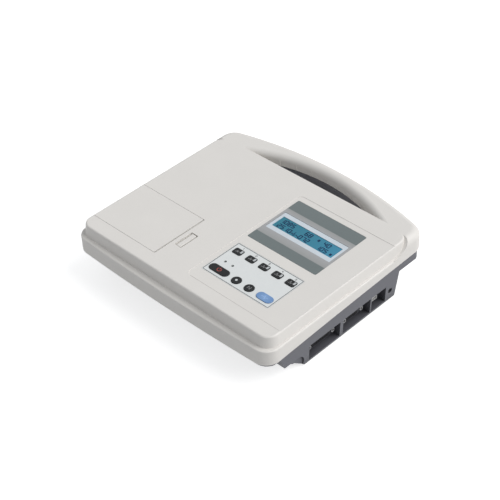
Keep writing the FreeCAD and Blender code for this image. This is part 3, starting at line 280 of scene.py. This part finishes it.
PALE = srgb(222, 219, 215)
DARK = srgb(92, 93, 100)
MATERIALS = {
    "pale_shell": moulded("pale_shell", PALE, 0.5, 2600.0, 0.00004, 0.012),
    # Dark shell with painted shade that darkens its recesses and hollows.
    "dark_shell": moulded("dark_shell", DARK, 0.55, 2000.0, 0.00008, 0.04, (16.0 * MM, 0.3)),
    "display_print": display_print(),
    "lcd_metal": satin("lcd_metal", srgb(203, 212, 220), 0.34),
    "lcd_screen": lcd_screen(),
    "keypad_print": satin("keypad_print", srgb(221, 224, 224), 0.4, 0.012),
    "key_black": satin("key_black", srgb(26, 28, 30), 0.4, 0.1, 0.22),
    "key_blue": key_blue(),
    "lamp_lens": satin("lamp_lens", srgb(62, 70, 66), 0.2, 0.1),
    "circuit_board": satin("circuit_board", srgb(30, 92, 52), 0.4, 0.12),
    "component_black": moulded("component_black", srgb(38, 38, 40), 0.5, 1800.0, 0.00004, 0.08),
    "connector_face": satin("connector_face", srgb(20, 20, 23), 0.5, 0.1, 0.15),
    "steel": metal("steel", srgb(190, 190, 192), 0.32, (1.0, 6.0, 1.0)),
    "brass_pin": metal("brass_pin", srgb(205, 176, 108), 0.3, (8.0, 1.0, 1.0)),
    "heat_sink": metal("heat_sink", srgb(200, 202, 205), 0.42, (1.0, 9.0, 1.0)),
    "head_ceramic": satin("head_ceramic", srgb(226, 224, 216), 0.25),
    "gear_plastic": moulded("gear_plastic", srgb(226, 222, 208), 0.45, 1500.0, 0.00003),
    "roller_rubber": moulded("roller_rubber", srgb(44, 44, 46), 0.7, 3000.0, 0.00005, 0.08),
    "tray_plastic": moulded("tray_plastic", srgb(120, 122, 126), 0.5, 1800.0, 0.00005),
    "paper": paper_stock("paper", srgb(240, 238, 232)),
    "core_card": paper_stock("core_card", srgb(176, 140, 98)),
    "battery_wrap": satin("battery_wrap", srgb(48, 84, 150), 0.35, 0.06),
}
INK_GREY = satin("ink_grey", srgb(100, 102, 104), 0.45)
INK_SOFT = satin("ink_soft", srgb(150, 151, 152), 0.45)
INK_RED = satin("ink_red", srgb(164, 70, 62), 0.45)
INK_PALE = satin("ink_pale", srgb(206, 210, 211), 0.45)
INK_TAB = satin("ink_tab", srgb(184, 188, 190), 0.45)
# Darker plastic tone for the painted shade line at the front edge of the sunk field.
EDGE_SHADE_TONE = moulded("field_edge_shade", srgb(178, 175, 171), 0.5, 2600.0, 0.00004, 0.012)
INK_SKY = satin("ink_sky", srgb(148, 181, 226), 0.4)
LCD_INK = satin("lcd_ink", srgb(8, 46, 84), 0.3, 0.08, 0.15)

NICKEL = metal("bright_nickel", srgb(204, 204, 203), 0.36, (1.0, 6.0, 1.0), 0.35)
# The darker steel on the jackscrews is painted shade for their place under the recess edge; the USB port
# keeps bright nickel.
SHADED_STEEL = metal("shaded_steel", srgb(140, 140, 142), 0.4, (1.0, 6.0, 1.0), 0.5)
FINISH_AND_SHADE = {"connector_jackscrews": SHADED_STEEL, "usb_port": NICKEL}

for node_name, node in NODES.items():
    node.data.materials.clear()
    node.data.materials.append(FINISH_AND_SHADE.get(node_name, MATERIALS[SLOT_OF[node_name]]))


# Printed marks and one painted shade line: thin closed prisms that lie on the face that carries them

def solid_from_loops(name, loops, z, thick, material, body):
    """One piece from flat closed outlines, each raised by the ink's thickness."""
    mesh = bpy.data.meshes.new(name)
    bm = bmesh.new()
    for loop in loops:
        low = [bm.verts.new((x, y, z)) for x, y in loop]
        high = [bm.verts.new((x, y, z + thick)) for x, y in loop]
        bm.faces.new(list(reversed(low)))
        bm.faces.new(high)
        for n in range(len(loop)):
            m = (n + 1) % len(loop)
            bm.faces.new((low[n], low[m], high[m], high[n]))
    bm.normal_update()
    bm.to_mesh(mesh)
    bm.free()
    mesh.materials.append(material)
    piece = bpy.data.objects.new(name, mesh)
    bpy.context.scene.collection.objects.link(piece)
    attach(piece, body)
    return piece


def stroke(points, width, closed=False):
    """Quads along a line of points, mitred at the turns."""
    count = len(points)
    rights = []
    for n, point in enumerate(points):
        before = points[n - 1] if n or closed else None
        after = points[(n + 1) % count] if n + 1 < count or closed else None
        steps = []
        if before is not None:
            steps.append((Vector(point) - Vector(before)).normalized())
        if after is not None:
            steps.append((Vector(after) - Vector(point)).normalized())
        along = sum(steps, Vector((0.0, 0.0))).normalized()
        side = Vector((along.y, -along.x))
        square = Vector((steps[0].y, -steps[0].x))
        rights.append(side * (width / 2 / max(0.4, side.dot(square))))
    quads = []
    for n in range(count if closed else count - 1):
        m = (n + 1) % count
        a, b = Vector(points[n]), Vector(points[m])
        quads.append([tuple(a + rights[n]), tuple(b + rights[m]), tuple(b - rights[m]), tuple(a - rights[n])])
    return quads


def disc(x, y, radius, sides=24):
    return [(x + radius * math.cos(2 * math.pi * n / sides), y + radius * math.sin(2 * math.pi * n / sides))
            for n in range(sides)]


def round_box(x, y, width, depth, radius, steps=5):
    """Rectangle with round corners about a centre, counter-clockwise."""
    loop = []
    for turn, (sx, sy) in enumerate(((1, 1), (-1, 1), (-1, -1), (1, -1))):
        for n in range(steps + 1):
            angle = math.pi / 2 * (turn + n / steps)
            loop.append((x + sx * (width / 2 - radius) + radius * math.cos(angle),
                         y + sy * (depth / 2 - radius) + radius * math.sin(angle)))
    return loop


def frame_lines(x0, x1, y0, y1, width, radius):
    loop = round_box((x0 + x1) / 2, (y0 + y1) / 2, x1 - x0, y1 - y0, radius)
    return stroke(loop, width, closed=True)


SEGMENTS = {
    "0": "abcdef", "1": "bc", "2": "abged", "3": "abgcd", "4": "fgbc",
    "5": "afgcd", "6": "afgedc", "7": "abc", "8": "abcdefg", "9": "abcdfg", "-": "g"}


def segment_digit(mark, x, y, width, height, line):
    """Seven-bar numeral with its lower left corner at x, y."""
    half = height / 2
    bars = {
        "a": ((0, height), (width, height)), "b": ((width, half), (width, height)),
        "c": ((width, 0), (width, half)), "d": ((0, 0), (width, 0)),
        "e": ((0, 0), (0, half)), "f": ((0, half), (0, height)), "g": ((0, half), (width, half))}
    quads = []
    for bar in SEGMENTS[mark]:
        (ax, ay), (bx, by) = bars[bar]
        quads += stroke([(x + ax, y + ay), (x + bx, y + by)], line)
    return quads


def numerals(text, x, y, width, height, line, pitch):
    quads = []
    for n, mark in enumerate(text):
        if mark != " ":
            quads += segment_digit(mark, x + n * pitch, y, width, height, line)
    return quads


FUNCTION_KEYS = range(1, 6)
OUTLINE_INSET, OUTLINE_WIDTH, OUTLINE_CORNER = 0.9 * MM, 0.7 * MM, 0.9 * MM
NUMBER_X, NUMBER_Y = -0.4 * MM, 5.9 * MM
NUMBER_WIDTH, NUMBER_HEIGHT, NUMBER_LINE = 1.3 * MM, 2.1 * MM, 0.5 * MM
TAB_X, TAB_Y = 3.8 * MM, 1.1 * MM
TAB_WIDTH, TAB_DEPTH, TAB_CORNER = 2.2 * MM, 4.2 * MM, 0.9 * MM
POWER_RADIUS, POWER_LINE = 2.3 * MM, 0.7 * MM
# Width of the painted shade line at the sunk field's front edge.
EDGE_SHADE_WIDTH = 0.34 * MM


def keypad_prints():
    """Outline of the keypad and plain numerals by the function keys."""
    low, high = KEYPAD
    top = high.z
    lines = frame_lines(low.x + OUTLINE_INSET, high.x - OUTLINE_INSET, low.y + OUTLINE_INSET,
                        high.y - OUTLINE_INSET, OUTLINE_WIDTH, OUTLINE_CORNER)
    solid_from_loops("keypad_outline", lines, top, INK, INK_GREY, "case")
    for number in FUNCTION_KEYS:
        x, y, _ = key_middle(f"function_key_{number}")
        digit = segment_digit(
            str(number), x + NUMBER_X, y + NUMBER_Y, NUMBER_WIDTH, NUMBER_HEIGHT, NUMBER_LINE)
        solid_from_loops(f"function_number_{number}", digit, top, INK, INK_GREY, "case")


def around(x, y, points):
    """Points given in millimetres about a middle."""
    return [(x + across * MM, y + along * MM) for across, along in points]


def key_prints():
    """Marks on the keys: a pale corner tab and a small trace, a power sign, a dot, two more traces."""
    for number in FUNCTION_KEYS:
        key = f"function_key_{number}"
        x, y, z = key_middle(key)
        tab = [round_box(x + TAB_X, y + TAB_Y, TAB_WIDTH, TAB_DEPTH, TAB_CORNER)]
        solid_from_loops(f"{key}_tab", tab, z, INK, INK_TAB, key)
        peak = 1.4 + (number - 3) * 0.25
        trace = [(-3.2, -1.2), (-1.8, -1.2), (-0.9, peak), (0, -1.6), (0.7, -0.2), (2.4, -0.2)]
        sign = stroke(around(x, y, trace), 0.4 * MM)
        solid_from_loops(f"{key}_sign", sign, z, INK, INK_SOFT, key)
    x, y, z = key_middle("power_key")
    arc = [(x + POWER_RADIUS * math.sin(math.radians(a)), y + POWER_RADIUS * math.cos(math.radians(a)))
           for a in range(40, 321, 14)]
    sign = stroke(arc, POWER_LINE) + stroke(around(x, y, [(0, 0.6), (0, 3.0)]), POWER_LINE)
    solid_from_loops("power_sign", sign, z, INK, INK_RED, "power_key")
    x, y, z = key_middle("mode_key")
    solid_from_loops("mode_dot", [disc(x, y, 1.3 * MM)], z, INK, INK_PALE, "mode_key")
    x, y, z = key_middle("lead_key")
    sign = stroke(around(x, y, [(-1.6, -1.7), (-1.4, 1.7), (1.4, -1.7), (1.6, 1.7)]), 0.45 * MM)
    solid_from_loops("lead_sign", sign, z, INK, INK_SOFT, "lead_key")
    x, y, z = key_middle("start_key")
    trace = [(-4.2, 0), (-1.6, 0), (-0.6, 2.2), (0.6, -2.2), (1.6, 0), (4.2, 0)]
    sign = stroke(around(x, y, trace), 0.6 * MM)
    solid_from_loops("start_sign", sign, z, INK, INK_SKY, "start_key")


SCREEN_ROWS = {
    "upper": (1.2, [("1085", 0), ("68", 32), ("40", 56)]),
    "lower": (-6.8, [("2510", 2), ("072", 30), ("105", 54)])}
DIGIT_WIDTH, DIGIT_HEIGHT, DIGIT_LINE, DIGIT_PITCH = 2.9 * MM, 5.2 * MM, 1.05 * MM, 4.6 * MM
SCREEN_HALF = 36.5 * MM
HEARTBEAT = [
    (0, 0), (2.0, 0), (2.6, 0.9), (3.2, 0), (4.0, -0.8), (4.8, 4.0),
    (5.6, -1.6), (6.4, 0), (8.0, 1.1), (9.4, 0), (11.0, 0)]


def screen_marks():
    """Numerals, a heartbeat trace and two blocks shown on the screen."""
    low, high = LCD_FRAME
    left = (low.x + high.x) / 2 - SCREEN_HALF
    middle = (low.y + high.y) / 2
    marks = []
    for height, groups in SCREEN_ROWS.values():
        for text, at in groups:
            marks += numerals(text, left + at * MM, middle + height * MM,
                              DIGIT_WIDTH, DIGIT_HEIGHT, DIGIT_LINE, DIGIT_PITCH)
    lower = middle + SCREEN_ROWS["lower"][0] * MM
    upper = middle + SCREEN_ROWS["upper"][0] * MM
    marks += stroke(around(left + 18.6 * MM, lower + 1.4 * MM, HEARTBEAT), 0.8 * MM)
    for x, y in ((left + 49.0 * MM, upper + 2.6 * MM), (left + 71.5 * MM, lower + 2.0 * MM)):
        marks.append(round_box(x, y, 2.6 * MM, 3.2 * MM, 0.4 * MM))
    solid_from_loops("screen_marks", marks, LCD_GLASS[1].z, INK, LCD_INK, "case")


def field_edge_shade():
    """Painted shade line along the front edge of the plateau's sunk field, standing in for the shade of its
    shallow step, as far as the plateau is flat.
    """
    near = 0.01 * MM
    cover = [vertex.co for vertex in NODES["top_cover"].data.vertices]
    top = max(co.z for co in cover)
    floor = [co for co in cover if abs(co.z - KEYPAD[1].z) < near]
    front = min(co.y for co in floor)
    start = min(co.x for co in floor if co.y < front + near)
    end = max(co.x for co in cover if abs(co.z - top) < near and abs(co.y - front) < near)
    y = front - EDGE_SHADE_WIDTH / 2
    line = stroke([(start, y), (end, y)], EDGE_SHADE_WIDTH)
    solid_from_loops("field_edge_shade", line, top, INK, EDGE_SHADE_TONE, "case")


keypad_prints()
key_prints()
screen_marks()
field_edge_shade()


# Camera at the photograph's view, light and stage

CAMERA_PLACE = Vector((0.7571, -0.7436, 0.9045))
CAMERA_AZIMUTH = math.radians(45.77)
CAMERA_ELEVATION = math.radians(39.48)
CAMERA_ROLL = math.radians(-2.67)
CAMERA_LENS = 97.7
SUN_TILT = math.radians(45.0)
SUN_TURN = math.radians(124.0)
SUN_SPREAD = math.radians(50.0)
SUN_LEVEL = 2.31
SUN_TONE = (1.0, 0.99, 0.98)
SKY_LEVEL = 0.42
SKY_TONE = (0.94, 0.97, 1.0, 1.0)
FLOOR_RADIUS = 6.0
FLOOR_TONE = 0.55
FLOOR_GLOW = 0.74


def photo_camera():
    a, e, r = CAMERA_AZIMUTH, CAMERA_ELEVATION, CAMERA_ROLL
    right = Vector((math.cos(a), math.sin(a), 0.0))
    back = Vector((math.sin(a) * math.cos(e), -math.cos(a) * math.cos(e), math.sin(e)))
    up = back.cross(right)
    across = right * math.cos(r) + up * math.sin(r)
    over = up * math.cos(r) - right * math.sin(r)
    data = bpy.data.cameras.new("photo_camera")
    data.sensor_width = 36.0
    data.lens = CAMERA_LENS
    data.clip_start = 0.05
    data.clip_end = 50.0
    camera = bpy.data.objects.new("photo_camera", data)
    turn = Matrix((across, over, back)).transposed().to_4x4()
    camera.matrix_world = Matrix.Translation(CAMERA_PLACE) @ turn
    bpy.context.scene.collection.objects.link(camera)
    bpy.context.scene.camera = camera


def seen_directly(tree):
    """One for rays that show the stage: from the camera, in a reflection or through glass."""
    path = tree.nodes.new("ShaderNodeLightPath")
    total = path.outputs["Is Camera Ray"]
    for kind in ("Is Glossy Ray", "Is Transmission Ray"):
        add = tree.nodes.new("ShaderNodeMath")
        add.operation = "MAXIMUM"
        tree.links.new(total, add.inputs[0])
        tree.links.new(path.outputs[kind], add.inputs[1])
        total = add.outputs["Value"]
    return total


def studio_world():
    world = bpy.data.worlds.new("studio")
    world.use_nodes = True
    tree = world.node_tree
    soft = tree.nodes["Background"]
    soft.inputs["Color"].default_value = SKY_TONE
    soft.inputs["Strength"].default_value = SKY_LEVEL
    white = tree.nodes.new("ShaderNodeBackground")
    white.inputs["Color"].default_value = grey(1.0)
    white.inputs["Strength"].default_value = 1.0
    mix = tree.nodes.new("ShaderNodeMixShader")
    tree.links.new(seen_directly(tree), mix.inputs["Fac"])
    tree.links.new(soft.outputs["Background"], mix.inputs[1])
    tree.links.new(white.outputs["Background"], mix.inputs[2])
    tree.links.new(mix.outputs["Shader"], tree.nodes["World Output"].inputs["Surface"])
    bpy.context.scene.world = world


def studio_light():
    data = bpy.data.lights.new("soft_key", "SUN")
    data.energy = SUN_LEVEL
    data.angle = SUN_SPREAD
    data.color = SUN_TONE
    lamp = bpy.data.objects.new("soft_key", data)
    lamp.rotation_euler = (SUN_TILT, 0.0, SUN_TURN)
    bpy.context.scene.collection.objects.link(lamp)


def pale_floor():
    """Large even pale disc that keeps the object's shadow and reads as white."""
    mesh = bpy.data.meshes.new("floor")
    bm = bmesh.new()
    bmesh.ops.create_circle(bm, cap_ends=True, segments=96, radius=FLOOR_RADIUS)
    bm.to_mesh(mesh)
    bm.free()
    floor = bpy.data.objects.new("floor", mesh)
    bpy.context.scene.collection.objects.link(floor)
    material, tree, shader = new_material("pale_floor")
    shader.inputs["Base Color"].default_value = grey(FLOOR_TONE)
    shader.inputs["Roughness"].default_value = 0.9
    shader.inputs["Emission Color"].default_value = grey(1.0)
    glow = tree.nodes.new("ShaderNodeMath")
    glow.operation = "MULTIPLY"
    glow.inputs[1].default_value = FLOOR_GLOW
    tree.links.new(seen_directly(tree), glow.inputs[0])
    tree.links.new(glow.outputs["Value"], shader.inputs["Emission Strength"])
    mesh.materials.append(material)


bpy.context.scene.view_settings.view_transform = "Standard"
photo_camera()
studio_world()
studio_light()
pale_floor()
